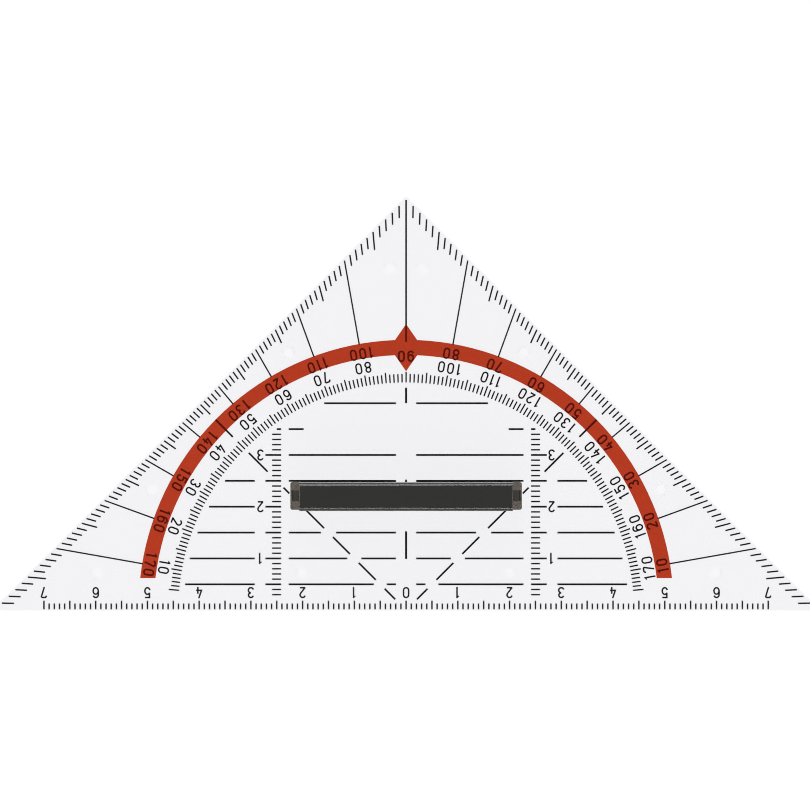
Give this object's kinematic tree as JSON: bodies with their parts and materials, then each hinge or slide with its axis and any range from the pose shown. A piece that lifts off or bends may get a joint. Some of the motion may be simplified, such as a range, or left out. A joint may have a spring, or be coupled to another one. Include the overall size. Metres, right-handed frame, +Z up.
{
  "type": "geometry triangle",
  "caption": "Clear 16 cm geometry triangle with a mirrored centimetre scale, leg and arc degree scales, a red protractor band and a lift-off smoke-grey grip",
  "frame": {"origin": "the zero mark, in the middle of the ruling edge and in the plane of the plate's printed underside", "axes": "+X along the ruling edge, to the right when the print is read from above with the ruling edge towards the reader; +Y away from the ruling edge, towards the right-angled corner; +Z up through the plate, towards the grip"},
  "size_m": [0.16, 0.08, 0.0114],
  "materials": {
    "clear_plastic": "smooth clear moulded plastic",
    "smoke_plastic": "smooth smoke-tinted moulded plastic",
    "black_ink": "black printing ink on the underside",
    "red_ink": "red printing ink on the underside, behind the black"
  },
  "bodies": {
    "plate": {"plate": "clear_plastic", "edge_ticks": "black_ink", "edge_numerals": "black_ink", "leg_degree_ticks": "black_ink", "ten_degree_rays": "black_ink", "protractor_band": "red_ink", "band_numerals": "black_ink", "inner_numerals": "black_ink", "arc_degree_ticks": "black_ink", "height_ticks_left": "black_ink", "height_ticks_right": "black_ink", "height_numerals": "black_ink", "parallel_lines": "black_ink", "diagonal_lines": "black_ink", "centre_line": "black_ink"},
    "grip": {"grip": "smoke_plastic"}
  },
  "joints": [
    {"name": "grip_lift", "type": "slide", "parent": "plate", "child": "grip", "axis": [0, 0, 1], "range_m": [0, 0.02]}
  ]
}
